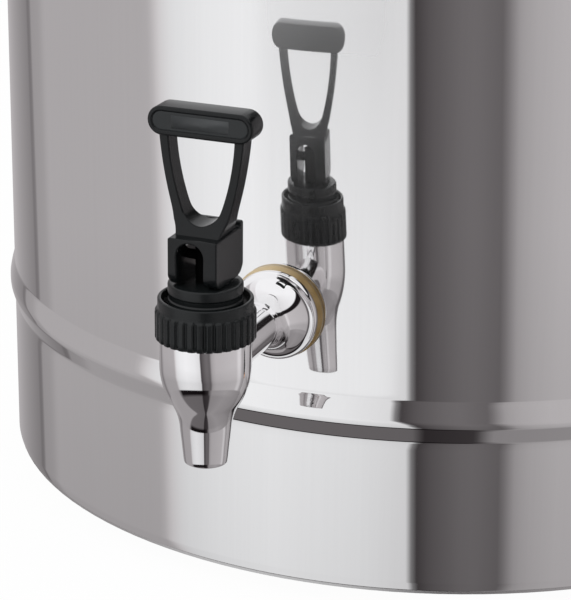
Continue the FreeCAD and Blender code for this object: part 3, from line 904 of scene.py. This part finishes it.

# %% [markdown]
# ## Finishes for the parts that stay as CAD
#
# Parts inside the base and the valve keep their CAD shapes, since they are seldom seen. Each still gets the
# finish of the real thing, but the valve stem and lever pin get painted shade: near-black, with no shine.

# %% Finishes of the CAD parts
kept = {
    "tank_floor": inner_steel, "base_plate": inner_steel, "heating_element": element_steel,
    "element_clamp": inner_steel, "clamp_stud": fitting_steel, "clamp_nut": fitting_steel,
    "boil_dry_cutout": handle_black, "energy_regulator": case_plastic, "regulator_shaft": fitting_steel,
    "pilot_lamp_body": handle_black, "terminal_block": case_plastic, "tap_backnut": brass,
    # The valve stem and lever pin carry painted shade of the slot in the cam block.
    "valve_stem": slot_painted_shade, "seat_cup": seat_rubber, "lever_pin": slot_painted_shade,
    "return_spring": fitting_steel,
}
for node_name, material in kept.items():
    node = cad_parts[node_name]
    node.data.materials.clear()
    node.data.materials.append(material)
print(len(kept), "CAD parts keep their shape")

# %% [markdown]
# ## Floor
#
# The picture has a white ground with no edge. The floor is pale and takes the urn's shadow, and to the
# camera it is lifted nearly to white, so that it melts into the background. Mirrors look through it to the
# studio around.

# %% Floor
floor_mesh = bpy.data.meshes.new("floor")
floor_mesh.from_pydata([(-4, -4, 0), (4, -4, 0), (4, 4, 0), (-4, 4, 0)], [], [(0, 1, 2, 3)])
floor = bpy.data.objects.new("floor", floor_mesh)
bpy.context.collection.objects.link(floor)
floor_finish, nodes = new_finish("pale_floor")
camera_ray, glossy_ray = nodes.rays("Is Camera Ray", "Is Glossy Ray")
pale = nodes.add("ShaderNodeBsdfDiffuse", {}, {"Color": (0.8, 0.8, 0.8, 1)})
white = nodes.add("ShaderNodeEmission", {}, {"Color": (1, 1, 1, 1), "Strength": 1.0})
clear = nodes.add("ShaderNodeBsdfTransparent")
lifted = nodes.mixed(camera_ray * 0.97, pale, white)
nodes.output(nodes.mixed(glossy_ray, lifted, clear))
floor_mesh.materials.append(floor_finish)

# %% [markdown]
# ## The studio in the mirror
#
# Polished steel has hardly any look of its own. What the eye reads as steel is the studio: a grey flat, a
# wide white softbox, a dark gap and another grey flat, each a clean upright band on the drum. Here they are
# painted on the world by compass direction, and only glossy rays see them. The chrome tap bends up and
# down as well, so four more rows of shades lie above and below: a white head, a row over it, a dark foot
# and a row under it.


# %% Shades of the studio
def shade(value):
    """Light that a bright metal turns into this value of the picture. Greys are a little warm."""
    warmth = 4 if value < 200 else max(0.0, 4 - (value - 200) / 5)
    colour = []
    for level in ((value + warmth) / 255, value / 255, (value + 1.5) / 255):
        linear = level / 12.92 if level < 0.04045 else ((level + 0.055) / 1.055) ** 2.4
        colour.append(linear / 0.89)
    return tuple(colour)


around_studio = [
    (-180, 178), (-160, 168), (-147, 147), (-136, 127), (-134.2, 100), (-132.4, 147), (-127, 151),
    (-123, 164), (-79, 166), (-77, 176), (-75.3, 196), (-72.6, 212), (-69.3, 221), (-60, 230), (-44, 236),
    (-20.5, 228), (-8.1, 216), (-6.7, 60), (-5.9, 60), (-2.2, 82), (5.2, 100), (9, 103), (15.8, 94),
    (17.4, 120), (20, 152), (24, 163), (31, 172), (86, 182), (93, 204), (99, 204), (106, 160), (150, 104)]
foot_of_studio = [
    (-180, 170), (-82, 160), (-70, 22), (-3, 12), (8, 40), (14, 110), (20, 148), (60, 160), (110, 140),
    (150, 100)]
below_studio = [
    (-180, 160), (-82, 162), (-74, 106), (-10, 102), (-6, 44), (12, 56), (18, 137), (60, 150), (110, 140),
    (150, 110)]
head_of_studio = [(-180, 190), (-130, 200), (-60, 236), (-8, 236), (-5, 20), (150, 20), (156, 190)]
above_studio = [(-180, 205), (-100, 238), (20, 238), (100, 215), (180, 205)]
print("the row around the studio has", len(around_studio), "shades")

# %% World
camera_azimuth = 18.34
world = bpy.data.worlds.new("studio")
bpy.context.scene.world = world
nodes = Nodes(world)
camera_ray, glossy_ray = nodes.rays("Is Camera Ray", "Is Glossy Ray")
east, north, rise = nodes.axes(nodes.add("ShaderNodeTexCoord", output="Generated"))
compass = nodes.add("ShaderNodeMath", {"operation": "ARCTAN2"}, {0: east, 1: north * -1.0})
turn_share = compass / (2 * math.pi) + (0.5 - camera_azimuth / 360)
lean = nodes.fading(rise, -0.2, -0.46, 2.0 / 360, -3.2 / 360)
share = nodes.add("ShaderNodeMath", {"operation": "FRACT"}, {0: turn_share + lean + 1.0})


def studio_row(values):
    stops = [((angle + 180) / 360, shade(value)) for angle, value in values]
    return nodes.add("ShaderNodeValToRGB", {"stops": stops}, {0: share})


headed = nodes.colours(nodes.fading(rise, 0.3, 0.34), studio_row(around_studio), studio_row(head_of_studio))
upright = nodes.colours(nodes.fading(rise, 0.5, 0.54), headed, studio_row(above_studio))
footed = nodes.colours(nodes.fading(rise, -0.6, -0.62), upright, studio_row(foot_of_studio))
mirror_side = nodes.colours(nodes.fading(rise, -0.69, -0.75), footed, studio_row(below_studio))
dimmed = nodes.fading(rise, -0.31, -0.45, 1.0, 0.82)
plain_light = nodes.add("ShaderNodeBackground", {}, {"Color": (1, 1, 1, 1), "Strength": 0.55})
mirrored = nodes.add("ShaderNodeBackground", {}, {"Color": mirror_side, "Strength": dimmed})
ground = nodes.add("ShaderNodeBackground", {}, {"Color": (1, 1, 1, 1), "Strength": 1.0})
lit = nodes.mixed(glossy_ray, plain_light, mirrored)
nodes.output(nodes.mixed(camera_ray, lit, ground), "ShaderNodeOutputWorld")

# %% [markdown]
# ## Lamps
#
# Three wide, soft lamps model the plastics and rubber. They are hidden from mirrors, which already have
# their studio.


# %% Lamps
def soft_lamp(name, azimuth, height, distance, size, power):
    lamp = bpy.data.lights.new(name, "AREA")
    lamp.shape = "RECTANGLE"
    lamp.size = size
    lamp.size_y = size
    lamp.energy = power
    holder = bpy.data.objects.new(name, lamp)
    angle = math.radians(azimuth)
    holder.location = (distance * math.sin(angle), -distance * math.cos(angle), height)
    aim = Vector((0, -0.1, 0.2)) - holder.location
    holder.rotation_euler = aim.to_track_quat("-Z", "Y").to_euler()
    holder.visible_glossy = False
    bpy.context.collection.objects.link(holder)
    print(name, power, "W")


soft_lamp("key", -25, 1.3, 1.3, 1.0, 16)
soft_lamp("fill", 75, 0.9, 1.5, 1.2, 7)
soft_lamp("back", 190, 1.2, 1.5, 1.2, 7)

# %% [markdown]
# ## Camera
#
# A long lens looks down on the lower left of the urn, as a catalogue picture of the tap does. Its place was
# worked out from the ellipses of the bead and of the foot, and from the tap's upright axis.

# %% Camera
camera_distance = 0.9209
camera_height = 0.3834
turned_aside = 3.59
looks_down = 19.81
rolled = 0.56
azimuth = math.radians(camera_azimuth)
camera_data = bpy.data.cameras.new("camera")
camera_data.sensor_fit = "AUTO"
camera_data.sensor_width = 36.0
camera_data.lens = 152.87
camera_data.clip_start = 0.05
camera = bpy.data.objects.new("camera", camera_data)
look = (Matrix.Rotation(math.radians(camera_azimuth + turned_aside), 4, "Z")
        @ Matrix.Rotation(math.radians(90 - looks_down), 4, "X")
        @ Matrix.Rotation(math.radians(rolled), 4, "Z"))
stand = (camera_distance * math.sin(azimuth), -camera_distance * math.cos(azimuth), camera_height)
camera.matrix_world = Matrix.Translation(stand) @ look
bpy.context.collection.objects.link(camera)
bpy.context.scene.camera = camera
bpy.context.scene.view_settings.view_transform = "Standard"
print("camera at", [round(v, 3) for v in stand])
